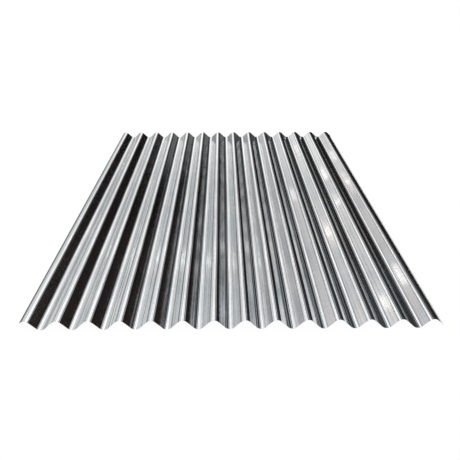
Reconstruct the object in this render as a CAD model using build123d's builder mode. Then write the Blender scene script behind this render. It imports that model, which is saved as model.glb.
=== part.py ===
from build123d import *
from math import cos, radians, sin
import os

# Corrugated sheet of galvanised steel, roll-formed from one flat strip.
# The waves run along Y. The troughs rest on Z = 0, and the origin is at the bottom centre.

# Driving dimensions, in millimetres and degrees
CREST_COUNT = 14
PITCH = 67.73  # from one crest to the next
DEPTH = 22.2  # over all, from the lowest trough to the highest crest
THICKNESS = 0.55
FLANK_ANGLE = 43.0  # slope of the straight walls between the bends
LEFT_FLANK = 1.5  # straight run from the left edge up to the first crest's bend
RIGHT_FLANK = 17.6  # straight run from the last crest's bend down to the right edge
LENGTH = 1524.0

# Half a wave is a bend, a straight flank and a bend the other way.
# Along the middle of the thickness it goes half a pitch across and one thickness less than the depth down,
# and those two lengths give the bend radius and the flank length.
slope = radians(FLANK_ANGLE)
half_pitch = PITCH / 2
middle_depth = DEPTH - THICKNESS
bend_radius = (half_pitch * sin(slope) - middle_depth * cos(slope)) / (2 * (1 - cos(slope)))
flank_length = (half_pitch - 2 * bend_radius * sin(slope)) / cos(slope)

# A bend is tighter on its hollow side: the underside of a crest, and the top of a trough
inner_radius = bend_radius - THICKNESS / 2
outer_radius = bend_radius + THICKNESS / 2

# How far the sheet reaches to the left of its first crest and to the right of its last
left_reach = outer_radius * sin(slope) + LEFT_FLANK * cos(slope)
right_reach = outer_radius * sin(slope) + RIGHT_FLANK * cos(slope)
sheet_width = left_reach + (CREST_COUNT - 1) * PITCH + right_reach

# Where the underside starts, at the left edge
first_crest_x = left_reach - sheet_width / 2
left_edge = (
    first_crest_x - inner_radius * sin(slope) - LEFT_FLANK * cos(slope),
    DEPTH - THICKNESS - inner_radius * (1 - cos(slope)) - LEFT_FLANK * sin(slope),
)

with BuildPart() as corrugated_sheet:
    with BuildSketch(Plane.XZ):
        with BuildLine():
            # The underside's wave, from the left edge to the right
            rise = PolarLine(left_edge, LEFT_FLANK, FLANK_ANGLE)
            for _ in range(CREST_COUNT - 1):
                crest = JernArc(rise @ 1, rise % 1, inner_radius, -2 * FLANK_ANGLE)
                fall = PolarLine(crest @ 1, flank_length, -FLANK_ANGLE)
                trough = JernArc(fall @ 1, fall % 1, outer_radius, 2 * FLANK_ANGLE)
                rise = PolarLine(trough @ 1, flank_length, FLANK_ANGLE)
            last_crest = JernArc(rise @ 1, rise % 1, inner_radius, -2 * FLANK_ANGLE)
            PolarLine(last_crest @ 1, RIGHT_FLANK, -FLANK_ANGLE)
            # The same wave one thickness higher, with both edges square to the sheet
            offset(amount=THICKNESS, side=Side.LEFT)
        make_face()
    extrude(amount=LENGTH / 2, both=True)
corrugated_sheet.part.label = "corrugated_sheet"

os.makedirs("parts", exist_ok=True)
export_step(corrugated_sheet.part, "parts/corrugated_sheet.step")
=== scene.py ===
"""Corrugated sheet of bright galvanised steel, lying on a pale studio floor in a tent of light."""

import math

import bpy
import numpy as np
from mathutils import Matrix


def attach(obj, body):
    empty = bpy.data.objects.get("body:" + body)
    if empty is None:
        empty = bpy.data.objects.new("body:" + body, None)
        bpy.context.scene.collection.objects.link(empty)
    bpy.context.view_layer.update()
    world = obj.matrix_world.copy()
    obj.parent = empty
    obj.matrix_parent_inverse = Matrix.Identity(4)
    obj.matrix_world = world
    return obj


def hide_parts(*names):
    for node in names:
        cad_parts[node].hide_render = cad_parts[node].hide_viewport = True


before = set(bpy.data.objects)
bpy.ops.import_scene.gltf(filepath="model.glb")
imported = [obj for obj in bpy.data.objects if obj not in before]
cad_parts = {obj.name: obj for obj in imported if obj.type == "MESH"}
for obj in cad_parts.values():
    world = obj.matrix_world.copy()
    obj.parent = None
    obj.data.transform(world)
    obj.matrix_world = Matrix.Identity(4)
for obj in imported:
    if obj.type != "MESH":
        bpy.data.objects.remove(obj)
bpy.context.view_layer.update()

# The rolled section, in metres and radians, with the same values as the part's source
CREST_COUNT = 14
PITCH = 0.06773
DEPTH = 0.0222
THICKNESS = 0.00055
FLANK_ANGLE = math.radians(43.0)
LEFT_FLANK = 0.0015
RIGHT_FLANK = 0.0176
LENGTH = 1.524

# How finely the surface is divided: steps round a bend, shares of a flank's width, rows along the sheet,
# and the angle from which an edge is sharp
BEND_STEPS = 10
FLANK_SHARES = np.array([0.06, 0.44, 0.44, 0.06])
ROWS = 120
SHARP_ANGLE = math.radians(40.0)

# Waviness that rolling and handling leave in the thin flanks: its height, how many waves it sums, the
# fewest and most of them to a metre, and how far it takes to fade out towards a side edge
WAVINESS = 0.00007
WAVINESS_MODES = 26
WAVINESS_SEED = 11
FEWEST_WAVES = 1.0
MOST_WAVES = 9.0
SIDE_FADE = 0.05

# The zinc finish, where scales count features to a metre of the developed sheet and reliefs are in metres
LINE_SCALE = (200.0, 0.9, 1.0)
LINE_RANGE = (0.3, 0.7)
LINE_RELIEF = 0.00006
MARK_REACH = 0.0018
MARK_DULLING = -0.65
MARK_RELIEF = 0.00003
CRYSTAL_SCALE = 260.0
CRYSTAL_RELIEF = 0.000004
RAGGED_SCALE = 600.0
RAGGED_SHIFT = 0.003
CLOUD_SCALE = 11.0
ZINC_TONES = (
    (0.0, (0.30, 0.305, 0.31)),
    (0.22, (0.59, 0.60, 0.605)),
    (0.8, (0.76, 0.77, 0.775)),
)
ZINC_EDGE_TINT = (0.9, 0.91, 0.91, 1.0)
WEAR_RANGE = (0.2, 0.8)
ROUGHNESS_RANGE = (0.06, 0.13)

# The camera: its place, how far it looks down and right in degrees, and its lens and sensor in millimetres
CAMERA_PLACE = (-0.0187, -1.8714, 0.7336)
CAMERA_DOWN = 24.23
CAMERA_RIGHT = 0.68
CAMERA_LENS = 47.69
CAMERA_SENSOR = 36.0

# The floor and the world: plain white where they are seen, and a plain level of light for the rest
WHITE = (1.0, 1.0, 1.0, 1.0)
FLOOR_REACH = 30.0
FLOOR_COLOUR = (0.9, 0.9, 0.9, 1.0)
FLOOR_SEEN = 0.95
FLOOR_SHADED = (0.075, 0.075, 0.075, 1.0)
WORLD_SEEN = 1.0
WORLD_LIGHT = 0.7

# The tent over the sheet along Y, and inside it a shade cloth on the right, both round arches.
# Each level is an angle round the arch from the right, in degrees, and the colour and strength of its light.
DARK = (0.021, 0.0155, 0.0135)
SLATE = (0.04, 0.042, 0.045)
DIM = (0.67, 0.65, 0.645)
BRIGHT = (1.36, 1.34, 1.33)
TENT_RADIUS = 1.2
TENT_ENDS = (-4.0, 9.0)
TENT_LEVELS = (
    (0, DARK),
    (60, DARK),
    (66, BRIGHT),
    (89, BRIGHT),
    (94, (1.04, 1.06, 1.07)),
    (98, (0.74, 0.765, 0.775)),
    (103, (0.76, 0.77, 0.775)),
    (107, (1.42, 1.40, 1.39)),
    (117, BRIGHT),
    (125, (0.87, 0.85, 0.84)),
    (130, DIM),
    (134, DIM),
    (140, (0.83, 0.81, 0.80)),
    (148, (0.78, 0.76, 0.75)),
    (155, (0.69, 0.67, 0.67)),
    (161, (0.50, 0.49, 0.49)),
    (168, (0.32, 0.315, 0.315)),
    (180, (0.20, 0.20, 0.20)),
)
CLOTH_RADIUS = 1.02
CLOTH_ENDS = (-3.0, 8.0)
CLOTH_LEVELS = (
    (0, DARK),
    (52, DARK),
    (57, (0.29, 0.30, 0.31)),
    (63, (0.42, 0.43, 0.44)),
    (69, (0.40, 0.42, 0.43)),
    (74, SLATE),
    (79.5, SLATE),
    (81, (0.34, 0.36, 0.37)),
    (83, (0.84, 0.84, 0.84)),
    (85, (1.22, 1.21, 1.20)),
    (90, (1.40, 1.38, 1.37)),
)
ARCH_STRENGTH = 1.07
ANGLE_STEP = 1.0
ROW_STEP = 0.2

# Soft changes along the arches. A fade lies between two places in Y, and the other pairs are angles.
# FRONT is nearer than the sheet's middle, and dims both arches. NEAR, before its fade, brightens the tent's
# left side and the cloth, and greys the cloth's dark foot. FAR, past its fade, brightens the tent, dims the
# cloth and greys its foot again.
FRONT_GAIN = 0.6
FRONT_FADE = (-0.5, 0.2)
NEAR_LEFT_GAIN = 1.25
NEAR_LEFT_FADE = (0.7, 1.6)
NEAR_LEFT_FROM = (84, 96)
FAR_TENT_GAIN = 1.28
FAR_TENT_FADE = (3.4, 4.8)
NEAR_CLOTH_GAIN = 1.45
NEAR_CLOTH_FADE = (0.6, 1.3)
FAR_CLOTH_GAIN = 0.55
FAR_CLOTH_FADE = (1.7, 2.8)
NEAR_FOOT_GREY = (0.16, 0.165, 0.17)
NEAR_FOOT_FADE = (0.5, 1.05)
NEAR_FOOT_FROM = (28, 36)
NEAR_FOOT_UP_TO = (37, 43)
FAR_FOOT_GREY = (0.175, 0.17, 0.165)
FAR_FOOT_FADE = (3.2, 4.6)
FAR_FOOT_UP_TO = (26, 34)

# Soft patches in that light, from bluer and dimmer to warmer and brighter
PATCH_SCALE = 2.6
PATCH_TINTS = (
    (0.35, (0.80, 0.86, 0.90)),
    (0.5, (0.97, 0.98, 0.99)),
    (0.65, (1.12, 1.09, 1.07)),
)

# Small warm lamps with soft edges on the left, by the flank and the place where each makes its glint:
# the number of the crest that the flank rises to, and metres from the near end
LAMP_GLINTS = (
    (11, 0.78),
    (12, 0.48),
    (12, 1.30),
    (13, 0.09),
    (13, 0.71),
    (13, 0.98),
    (14, 0.22),
    (14, 0.90),
    (14, 1.21),
)
LAMP_DISTANCE = 1.15
LAMP_SIZE = (0.06, 0.26)
LAMP_STEPS = 8
LAMP_MIDDLE = 2.25
LAMP_EDGE = 0.7
LAMP_TINT = (1.1, 1.03, 0.99)

# Level cards, four just over the floor and a bright one overhead:
# left and right edge, near and far edge, height, and colour and strength
ON_FLOOR = 0.002
CARDS = {
    "black_card": ((0.47, 1.0), (-1.5, 5.0), ON_FLOOR, (0.02, 0.017, 0.016)),
    "grey_card": ((0.06, 0.95), (0.78, 2.6), ON_FLOOR, (0.085, 0.088, 0.09)),
    "pale_card": ((-0.95, 0.06), (0.78, 2.6), ON_FLOOR, (0.62, 0.61, 0.61)),
    "left_card": ((-1.1, -0.47), (-1.0, 4.0), ON_FLOOR, (0.16, 0.16, 0.165)),
    "overhead_card": ((-0.185, -0.15), (1.42, 1.56), 0.98, (4.6, 4.55, 4.5)),
}


def section_line():
    """Middle line of the rolled section, walked from the left edge to the right.

    Every step is a chord with its own heading. Round a bend the heading turns evenly from one flank's slope
    to the other's, and each chord is twice the bend radius times the sine of half its turn. Along a flank
    the heading stays. The running sum of the chords gives the points, and the heading at a point turned by
    a right angle gives the normal there. Returns distance along the line, x, z and heading.
    """
    middle_depth = DEPTH - THICKNESS
    bend_radius = (PITCH / 2 * math.sin(FLANK_ANGLE) - middle_depth * math.cos(FLANK_ANGLE)) / (
        2 * (1 - math.cos(FLANK_ANGLE))
    )
    flank_length = (PITCH / 2 - 2 * bend_radius * math.sin(FLANK_ANGLE)) / math.cos(FLANK_ANGLE)

    crest_turn = np.linspace(FLANK_ANGLE, -FLANK_ANGLE, BEND_STEPS + 1)
    crest_heading = (crest_turn[1:] + crest_turn[:-1]) / 2
    bend_chords = np.full(BEND_STEPS, 2 * bend_radius * math.sin(FLANK_ANGLE / BEND_STEPS))
    rising = np.full(FLANK_SHARES.size, FLANK_ANGLE)
    last_flank = RIGHT_FLANK * FLANK_SHARES

    wave_heading = np.concatenate([crest_heading, -rising, -crest_heading, rising])
    wave_turn = np.concatenate([crest_turn[1:], -rising, -crest_turn[1:], rising])
    wave_steps = np.concatenate([bend_chords, flank_length * FLANK_SHARES] * 2)

    waves = CREST_COUNT - 1
    step_heading = np.concatenate([[FLANK_ANGLE], np.tile(wave_heading, waves), crest_heading, -rising])
    steps = np.concatenate([[LEFT_FLANK], np.tile(wave_steps, waves), bend_chords, last_flank])
    heading = np.concatenate([[FLANK_ANGLE] * 2, np.tile(wave_turn, waves), crest_turn[1:], -rising])

    along = np.concatenate([[0.0], np.cumsum(steps)])
    x = np.concatenate([[0.0], np.cumsum(steps * np.cos(step_heading))])
    z = np.concatenate([[0.0], np.cumsum(steps * np.sin(step_heading))])
    return along, x - x[-1] / 2, z - z.max() + DEPTH - THICKNESS / 2, heading


def first_crest_x():
    """Where the first crest's top is: one step up the left flank, then half of the steps round the bend."""
    x = section_line()[1]
    return x[1 + BEND_STEPS // 2]


def from_bend_line(along):
    """Distance along the section from each of its points to the nearest line where a bend meets a flank.

    After the left flank such a line comes at the end of each bend and of each flank in turn.
    """
    runs = np.tile([BEND_STEPS, FLANK_SHARES.size], 2 * CREST_COUNT - 1)
    bend_lines = along[1 + np.concatenate([[0], np.cumsum(runs)[:-1]])]
    return np.abs(along[:, None] - bend_lines).min(axis=1)


def flank_waviness(along, y, heading):
    """How far the sheet stands off its true section, along its normal, over the rows and section points.

    A sum of plane cosine waves with seeded random directions, lengths and phases, scaled by the root of two
    over their number, so that WAVINESS is its root mean square. It is full on the flanks and fades with the
    slope to nothing at the crests and troughs, which their bends keep straight, and towards the two side
    edges.
    """
    rng = np.random.default_rng(WAVINESS_SEED)
    across_waves = rng.uniform(-MOST_WAVES, MOST_WAVES, WAVINESS_MODES)[:, None, None]
    length_waves = rng.uniform(FEWEST_WAVES, MOST_WAVES, WAVINESS_MODES)[:, None, None]
    phases = rng.uniform(0.0, 2 * math.pi, WAVINESS_MODES)[:, None, None]
    waves = np.cos(2 * math.pi * (across_waves * along + length_waves * y[:, None]) + phases)
    field = waves.sum(axis=0) * math.sqrt(2 / WAVINESS_MODES)
    side_fade = np.clip(np.minimum(along, along[-1] - along) / SIDE_FADE, 0.0, 1.0)
    return WAVINESS * field * side_fade * np.abs(heading) / FLANK_ANGLE


def sheet_surface():
    """The closed surface of the sheet: its section's outline carried along Y in straight rows.

    Each row is a ring of points: the middle line plus half the thickness along the normal from left to
    right, then minus half the thickness back again. Neighbouring rows are joined by quads, and the first
    and last rings are closed by a strip of quads across the thickness. The UV map holds metres: the
    distance along the section and the distance from the near end.
    """
    along, x, z, heading = section_line()
    y = np.linspace(-LENGTH / 2, LENGTH / 2, ROWS + 1)
    stand_off = flank_waviness(along, y, heading)
    normal_x = -np.sin(heading)
    normal_z = np.cos(heading)

    def skin(offset):
        lift = stand_off + offset
        row_y = np.broadcast_to(y[:, None], lift.shape)
        return np.stack([x + lift * normal_x, row_y, z + lift * normal_z], axis=-1)

    top = skin(THICKNESS / 2)
    underside = skin(-THICKNESS / 2)[:, ::-1]
    points = np.concatenate([top, underside], axis=1)

    here = np.arange(points.shape[0] * points.shape[1]).reshape(points.shape[:2])
    beside = np.roll(here, -1, axis=1)
    rows = np.stack([here[:-1], beside[:-1], beside[1:], here[1:]], axis=-1).reshape(-1, 4)
    over = here[:, : x.size]
    under = here[:, x.size:][:, ::-1]
    near_end = np.stack([over[0, :-1], under[0, :-1], under[0, 1:], over[0, 1:]], axis=-1)
    far_end = np.stack([over[-1, :-1], over[-1, 1:], under[-1, 1:], under[-1, :-1]], axis=-1)
    quads = np.concatenate([rows, near_end, far_end])

    mesh = bpy.data.meshes.new("galvanised_sheet")
    mesh.from_pydata(points.reshape(-1, 3), [], quads)
    ring_along = np.concatenate([along, along[::-1]])
    developed = np.stack(np.broadcast_arrays(ring_along, (y + LENGTH / 2)[:, None]), axis=-1).reshape(-1, 2)
    mesh.uv_layers.new(name="developed").data.foreach_set("uv", developed[quads.ravel()].ravel())
    off_line = from_bend_line(along)
    ring_off_line = np.tile(np.concatenate([off_line, off_line[::-1]]), y.size)
    mesh.attributes.new("from_bend_line", "FLOAT", "POINT").data.foreach_set("value", ring_off_line)
    mesh.polygons.foreach_set("use_smooth", np.ones(len(quads), dtype=bool))
    mesh.set_sharp_from_angle(angle=SHARP_ANGLE)
    mesh.update()
    return mesh


def add_node(tree, kind, **settings):
    """A new shader node with the given settings; keys that name an input set that socket's value."""
    node = tree.nodes.new(kind)
    for key, value in settings.items():
        if key in node.inputs:
            node.inputs[key].default_value = value
        else:
            setattr(node, key, value)
    return node


def add_range(tree, given, wanted, **settings):
    """A node that maps values in the given range to the wanted one."""
    node = add_node(tree, "ShaderNodeMapRange", **settings)
    for socket, value in zip(("From Min", "From Max", "To Min", "To Max"), (*given, *wanted)):
        node.inputs[socket].default_value = value
    return node


def set_ramp(ramp, stops):
    """Give a colour ramp these stops, each a position and a colour."""
    while len(ramp.elements) < len(stops):
        ramp.elements.new(0.5)
    for element, (position, colour) in zip(ramp.elements, stops):
        element.position = position
        element.color = (*colour, 1.0)


def galvanised_steel():
    """Bright zinc on rolled steel: fine spangle, long lines drawn by the rolls, and cloudy patches."""
    material = bpy.data.materials.new("galvanised_steel")
    material.use_nodes = True
    tree = material.node_tree
    link = tree.links.new
    shader = tree.nodes["Principled BSDF"]
    shader.inputs["Metallic"].default_value = 1.0
    shader.inputs["Specular Tint"].default_value = ZINC_EDGE_TINT

    developed = add_node(tree, "ShaderNodeUVMap", uv_map="developed")

    # Drawn lines: noise about 5 mm wide with finer lines in it, drawn out along the sheet
    lines_at = add_node(tree, "ShaderNodeMapping", Scale=LINE_SCALE)
    lines = add_node(tree, "ShaderNodeTexNoise", noise_dimensions="2D", Scale=1.0, Detail=2.0, Roughness=0.6)
    line_tone = add_range(tree, LINE_RANGE, (0.0, 1.0))
    link(developed.outputs["UV"], lines_at.inputs["Vector"])
    link(lines_at.outputs["Vector"], lines.inputs["Vector"])
    link(lines.outputs["Fac"], line_tone.inputs["Value"])

    # Roll marks: a narrow line wherever a bend meets a flank
    off_line = add_node(tree, "ShaderNodeAttribute", attribute_name="from_bend_line")
    mark = add_range(tree, (0.0, MARK_REACH), (1.0, 0.0), interpolation_type="SMOOTHSTEP")
    link(off_line.outputs["Fac"], mark.inputs["Value"])

    # Spangle: crystals of about 4 mm with ragged borders
    ragged = add_node(tree, "ShaderNodeTexNoise", noise_dimensions="2D", Scale=RAGGED_SCALE, Detail=2.0)
    ragged_by = add_node(tree, "ShaderNodeVectorMath", operation="SCALE", Scale=RAGGED_SHIFT)
    crystals_at = add_node(tree, "ShaderNodeVectorMath", operation="ADD")
    crystals = add_node(tree, "ShaderNodeTexVoronoi", voronoi_dimensions="2D", Scale=CRYSTAL_SCALE)
    crystal_tone = add_node(tree, "ShaderNodeSeparateColor")
    link(developed.outputs["UV"], ragged.inputs["Vector"])
    link(ragged.outputs["Color"], ragged_by.inputs[0])
    link(developed.outputs["UV"], crystals_at.inputs[0])
    link(ragged_by.outputs["Vector"], crystals_at.inputs[1])
    link(crystals_at.outputs["Vector"], crystals.inputs["Vector"])
    link(crystals.outputs["Color"], crystal_tone.inputs["Color"])

    # Cloudy patches of duller zinc
    clouds = add_node(
        tree, "ShaderNodeTexNoise", noise_dimensions="2D", Scale=CLOUD_SCALE, Detail=4.0, Roughness=0.6
    )
    link(developed.outputs["UV"], clouds.inputs["Vector"])

    # Colour: from the dull tone to the bright one, by crystal, cloud and line, and duller in the roll marks
    mottle = add_node(tree, "ShaderNodeMix", data_type="FLOAT", Factor=0.5)
    tone = add_node(tree, "ShaderNodeMix", data_type="FLOAT", Factor=0.5)
    marked = add_node(tree, "ShaderNodeMath", operation="MULTIPLY_ADD")
    marked.inputs[1].default_value = MARK_DULLING
    zinc = add_node(tree, "ShaderNodeValToRGB")
    set_ramp(zinc.color_ramp, ZINC_TONES)
    link(clouds.outputs["Fac"], mottle.inputs["A"])
    link(crystal_tone.outputs["Red"], mottle.inputs["B"])
    link(mottle.outputs["Result"], tone.inputs["A"])
    link(line_tone.outputs["Result"], tone.inputs["B"])
    link(mark.outputs["Result"], marked.inputs[0])
    link(tone.outputs["Result"], marked.inputs[2])
    link(marked.outputs["Value"], zinc.inputs["Fac"])
    link(zinc.outputs["Color"], shader.inputs["Base Color"])

    # Gloss: lines and crystals scatter the reflection a little more or less
    wear = add_node(tree, "ShaderNodeMix", data_type="FLOAT", Factor=0.5)
    gloss = add_range(tree, WEAR_RANGE, ROUGHNESS_RANGE)
    link(lines.outputs["Fac"], wear.inputs["A"])
    link(crystal_tone.outputs["Green"], wear.inputs["B"])
    link(wear.outputs["Result"], gloss.inputs["Value"])
    link(gloss.outputs["Result"], shader.inputs["Roughness"])

    # Relief: drawn lines and roll marks of a few hundredths of a millimetre, and the crystals, far fainter
    line_relief = add_node(tree, "ShaderNodeBump", Strength=1.0, Distance=LINE_RELIEF)
    mark_relief = add_node(tree, "ShaderNodeBump", Strength=1.0, Distance=MARK_RELIEF)
    crystal_relief = add_node(tree, "ShaderNodeBump", Strength=1.0, Distance=CRYSTAL_RELIEF)
    link(lines.outputs["Fac"], line_relief.inputs["Height"])
    link(mark.outputs["Result"], mark_relief.inputs["Height"])
    link(crystals.outputs["Distance"], crystal_relief.inputs["Height"])
    link(line_relief.outputs["Normal"], mark_relief.inputs["Normal"])
    link(mark_relief.outputs["Normal"], crystal_relief.inputs["Normal"])
    link(crystal_relief.outputs["Normal"], shader.inputs["Normal"])
    return material


def sheet():
    """The sheet itself, in the place of its solid."""
    piece = bpy.data.objects.new("galvanised_sheet", sheet_surface())
    bpy.context.collection.objects.link(piece)
    piece.data.materials.append(galvanised_steel())
    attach(piece, "root")
    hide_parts("corrugated_sheet")


def eased(value, start, end):
    """Nought up to the start, one from the end on, and the cubic 3 t t - 2 t t t between them."""
    t = np.clip((value - start) / (end - start), 0.0, 1.0)
    return t * t * (3 - 2 * t)


def arch_grid(degrees, ends):
    """Angles round an arch and places along it, at even steps over these two ranges."""
    angle_count = round((degrees[1] - degrees[0]) / ANGLE_STEP) + 1
    row_count = round((ends[1] - ends[0]) / ROW_STEP) + 1
    return np.linspace(*degrees, angle_count), np.linspace(*ends, row_count)


def arch_levels(degrees, levels):
    """Colours at these angles round an arch, straight from each of its levels to the next."""
    stops = np.array([stop for stop, colour in levels])
    colours = np.array([colour for stop, colour in levels])
    return np.stack([np.interp(degrees, stops, channel) for channel in colours.T], axis=-1)


def front_gain(y):
    """The gain of both arches at these places along Y: low in front, and one past the sheet's middle."""
    return FRONT_GAIN + (1 - FRONT_GAIN) * eased(y, *FRONT_FADE)


def lit_mesh(name, points, quads, light):
    """A mesh from arrays of points and quads, where each point keeps the colour of its light."""
    mesh = bpy.data.meshes.new(name)
    mesh.from_pydata(points.reshape(-1, 3), [], quads.reshape(-1, 4))
    colours = np.concatenate([light, np.ones((*light.shape[:-1], 1))], axis=-1)
    mesh.attributes.new("light", "FLOAT_COLOR", "POINT").data.foreach_set("color", colours.ravel())
    mesh.update()
    return mesh


def arch_surface(name, radius, degrees, y, light):
    """Part of a round arch carried along Y: radius times cosine and sine of the angle give x and z."""
    angle = np.radians(degrees)
    shape = (y.size, angle.size)
    points = np.stack([
        np.broadcast_to(radius * np.cos(angle), shape),
        np.broadcast_to(y[:, None], shape),
        np.broadcast_to(radius * np.sin(angle), shape),
    ], axis=-1)
    here = np.arange(angle.size * y.size).reshape(shape)
    quads = np.stack([here[:-1, :-1], here[1:, :-1], here[1:, 1:], here[:-1, 1:]], axis=-1)
    return lit_mesh(name, points, quads, light)


def tent_surface():
    """The tent: its levels round the arch, times the gains in front, at the near end's left and far off."""
    degrees, y = arch_grid((0.0, 180.0), TENT_ENDS)
    near = 1 - eased(y, *NEAR_LEFT_FADE)
    near_gain = 1 + (NEAR_LEFT_GAIN - 1) * near[:, None] * eased(degrees, *NEAR_LEFT_FROM)
    far_gain = 1 + (FAR_TENT_GAIN - 1) * eased(y, *FAR_TENT_FADE)
    gain = near_gain * (far_gain * front_gain(y))[:, None]
    light = arch_levels(degrees, TENT_LEVELS) * gain[:, :, None]
    return arch_surface("tent", TENT_RADIUS, degrees, y, light)


def cloth_surface():
    """The shade cloth: its levels round the arch, times the gains in front, at the near end and far off.

    Where its foot has a grey, near or far, the light is the larger of the two.
    """
    degrees, y = arch_grid((0.0, 90.0), CLOTH_ENDS)
    near_gain = 1 + (NEAR_CLOTH_GAIN - 1) * (1 - eased(y, *NEAR_CLOTH_FADE))
    far_gain = 1 + (FAR_CLOTH_GAIN - 1) * eased(y, *FAR_CLOTH_FADE)
    gain = near_gain * far_gain * front_gain(y)
    light = arch_levels(degrees, CLOTH_LEVELS) * gain[:, None, None]
    near_foot_band = eased(degrees, *NEAR_FOOT_FROM) - eased(degrees, *NEAR_FOOT_UP_TO)
    near_foot = (1 - eased(y, *NEAR_FOOT_FADE))[:, None] * near_foot_band
    far_foot = eased(y, *FAR_FOOT_FADE)[:, None] * (1 - eased(degrees, *FAR_FOOT_UP_TO))
    light = np.maximum(light, near_foot[:, :, None] * NEAR_FOOT_GREY)
    light = np.maximum(light, far_foot[:, :, None] * FAR_FOOT_GREY)
    return arch_surface("shade_cloth", CLOTH_RADIUS, degrees, y, light)


def lamp_panels():
    """The small lamps: oblong panels, each where a flank mirrors the camera's line of sight.

    The middle of a left-facing flank lies a quarter of a pitch left of its crest. The line from the camera
    to that point is mirrored in the flank's plane, and the lamp stands on it at a set distance across.
    With u and v from -1 to 1 across and along a panel, its light falls from the middle to the edge as
    (1 - u u) (1 - v v).
    """
    crest, near_end = np.array(LAMP_GLINTS).T
    crest_x = first_crest_x() + (crest - 1) * PITCH
    glint = np.stack([crest_x - PITCH / 4, near_end - LENGTH / 2, np.full(crest.size, DEPTH / 2)], axis=-1)
    normal = np.array([-math.sin(FLANK_ANGLE), 0.0, math.cos(FLANK_ANGLE)])
    sight = glint - np.array(CAMERA_PLACE)
    mirrored = sight - 2 * (sight @ normal)[:, None] * normal
    across = np.hypot(mirrored[:, 0], mirrored[:, 2])[:, None]
    middle = glint + mirrored * LAMP_DISTANCE / across
    up = np.stack([-mirrored[:, 2], np.zeros(crest.size), mirrored[:, 0]], axis=-1) / across
    half_up = up * LAMP_SIZE[0] / 2
    half_along = np.array([0.0, LAMP_SIZE[1] / 2, 0.0])
    side = np.linspace(-1.0, 1.0, LAMP_STEPS + 1)
    u, v = np.meshgrid(side, side)
    points = middle[:, None, None] + u[:, :, None] * half_up[:, None, None] + v[:, :, None] * half_along
    level = LAMP_EDGE + (LAMP_MIDDLE - LAMP_EDGE) * (1 - u * u) * (1 - v * v)
    light = np.broadcast_to(level[:, :, None] * LAMP_TINT, points.shape)
    here = np.arange(crest.size * u.size).reshape(crest.size, *u.shape)
    quads = np.stack([here[:, :-1, :-1], here[:, :-1, 1:], here[:, 1:, 1:], here[:, 1:, :-1]], axis=-1)
    return lit_mesh("lamp_panels", points, quads, light)


def level_oblong(name, across, along, height):
    """A level oblong between two places in X and two in Y."""
    corners = [
        (across[0], along[0], height),
        (across[1], along[0], height),
        (across[1], along[1], height),
        (across[0], along[1], height),
    ]
    mesh = bpy.data.meshes.new(name)
    mesh.from_pydata(corners, [], [(0, 1, 2, 3)])
    return mesh


def empty_material(name):
    """A material with no nodes yet."""
    material = bpy.data.materials.new(name)
    material.use_nodes = True
    material.node_tree.nodes.clear()
    return material


def lit_cloth():
    """Lit cloth: it shows the light kept on its points, with large soft patches of bluer and warmer tint."""
    material = empty_material("lit_cloth")
    tree = material.node_tree
    place = add_node(tree, "ShaderNodeTexCoord")
    light = add_node(tree, "ShaderNodeAttribute", attribute_name="light")
    patches = add_node(tree, "ShaderNodeTexNoise", Scale=PATCH_SCALE, Detail=2.0, Roughness=0.5)
    tint = add_node(tree, "ShaderNodeValToRGB")
    tinted = add_node(tree, "ShaderNodeMix", data_type="RGBA", blend_type="MULTIPLY")
    glow = add_node(tree, "ShaderNodeEmission", Strength=ARCH_STRENGTH)
    out = add_node(tree, "ShaderNodeOutputMaterial")
    set_ramp(tint.color_ramp, PATCH_TINTS)
    tinted.inputs["Factor"].default_value = 1.0
    tree.links.new(place.outputs["Object"], patches.inputs["Vector"])
    tree.links.new(patches.outputs["Fac"], tint.inputs["Fac"])
    tree.links.new(light.outputs["Color"], tinted.inputs["A"])
    tree.links.new(tint.outputs["Color"], tinted.inputs["B"])
    tree.links.new(tinted.outputs["Result"], glow.inputs["Color"])
    tree.links.new(glow.outputs["Emission"], out.inputs["Surface"])
    return material


def plain_glow(name, colour):
    """A surface that shows one even colour."""
    material = empty_material(name)
    tree = material.node_tree
    glow = add_node(tree, "ShaderNodeEmission", Color=(*colour, 1.0), Strength=1.0)
    out = add_node(tree, "ShaderNodeOutputMaterial")
    tree.links.new(glow.outputs["Emission"], out.inputs["Surface"])
    return material


def seen_rays(tree):
    """One for camera, glossy and transmission rays, which show the white ground, and nought for the rest."""
    path = add_node(tree, "ShaderNodeLightPath")
    glossy = add_node(tree, "ShaderNodeMath", operation="MAXIMUM")
    seen = add_node(tree, "ShaderNodeMath", operation="MAXIMUM")
    tree.links.new(path.outputs["Is Camera Ray"], glossy.inputs[0])
    tree.links.new(path.outputs["Is Glossy Ray"], glossy.inputs[1])
    tree.links.new(glossy.outputs["Value"], seen.inputs[0])
    tree.links.new(path.outputs["Is Transmission Ray"], seen.inputs[1])
    return seen.outputs["Value"]


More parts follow.
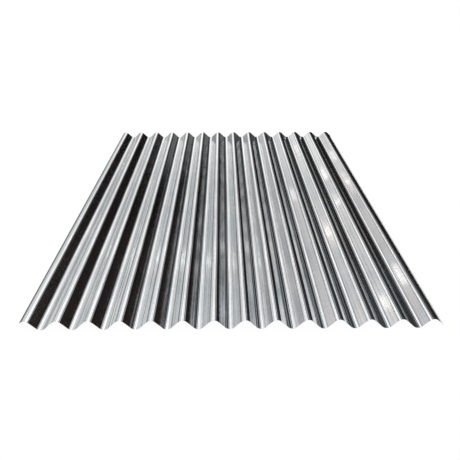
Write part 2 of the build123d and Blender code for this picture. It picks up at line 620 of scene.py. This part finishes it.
def floor_white():
    """Pale floor: mostly plain white where it is seen, and lit for the rest, so that it keeps a shadow."""
    material = empty_material("floor_white")
    tree = material.node_tree
    lit = add_node(tree, "ShaderNodeBsdfDiffuse", Color=FLOOR_COLOUR)
    shaded = add_node(tree, "ShaderNodeBsdfDiffuse", Color=FLOOR_SHADED)
    white = add_node(tree, "ShaderNodeEmission", Color=WHITE, Strength=FLOOR_SEEN)
    shown = add_node(tree, "ShaderNodeAddShader")
    both = add_node(tree, "ShaderNodeMixShader")
    out = add_node(tree, "ShaderNodeOutputMaterial")
    tree.links.new(white.outputs["Emission"], shown.inputs[0])
    tree.links.new(shaded.outputs["BSDF"], shown.inputs[1])
    tree.links.new(seen_rays(tree), both.inputs["Fac"])
    tree.links.new(lit.outputs["BSDF"], both.inputs[1])
    tree.links.new(shown.outputs["Shader"], both.inputs[2])
    tree.links.new(both.outputs["Shader"], out.inputs["Surface"])
    return material


def stage_piece(name, mesh, material):
    """An object of the studio that isn't part of the sheet."""
    piece = bpy.data.objects.new(name, mesh)
    bpy.context.collection.objects.link(piece)
    piece.data.materials.append(material)
    return piece


def mirrored_only(piece):
    """Let glossy rays alone see this piece: it shows in the metal, and the floor stays evenly lit."""
    piece.visible_camera = False
    piece.visible_diffuse = False
    piece.visible_shadow = False


def studio():
    """Floor, tent, shade cloth, lamps, cards and a plain white world."""
    floor_side = (-FLOOR_REACH, FLOOR_REACH)
    stage_piece("floor", level_oblong("floor", floor_side, floor_side, 0.0), floor_white())

    cloth_material = lit_cloth()
    mirrored_only(stage_piece("tent", tent_surface(), cloth_material))
    mirrored_only(stage_piece("shade_cloth", cloth_surface(), cloth_material))
    mirrored_only(stage_piece("lamp_panels", lamp_panels(), cloth_material))
    for name, (across, along, height, colour) in CARDS.items():
        card = level_oblong(name, across, along, height)
        mirrored_only(stage_piece(name, card, plain_glow(name, colour)))

    world = bpy.data.worlds.new("studio")
    world.use_nodes = True
    bpy.context.scene.world = world
    tree = world.node_tree
    background = tree.nodes["Background"]
    background.inputs["Color"].default_value = WHITE
    strength = add_range(tree, (0.0, 1.0), (WORLD_LIGHT, WORLD_SEEN))
    tree.links.new(seen_rays(tree), strength.inputs["Value"])
    tree.links.new(strength.outputs["Result"], background.inputs["Strength"])


def camera():
    """The photograph's view: from the near end, a little above, looking down along the waves."""
    lens = bpy.data.cameras.new("camera")
    lens.sensor_width = CAMERA_SENSOR
    lens.lens = CAMERA_LENS
    view = bpy.data.objects.new("camera", lens)
    view.location = CAMERA_PLACE
    view.rotation_euler = (math.radians(90 - CAMERA_DOWN), 0.0, math.radians(-CAMERA_RIGHT))
    bpy.context.collection.objects.link(view)
    bpy.context.scene.camera = view


sheet()
studio()
camera()
bpy.context.scene.view_settings.view_transform = "Standard"
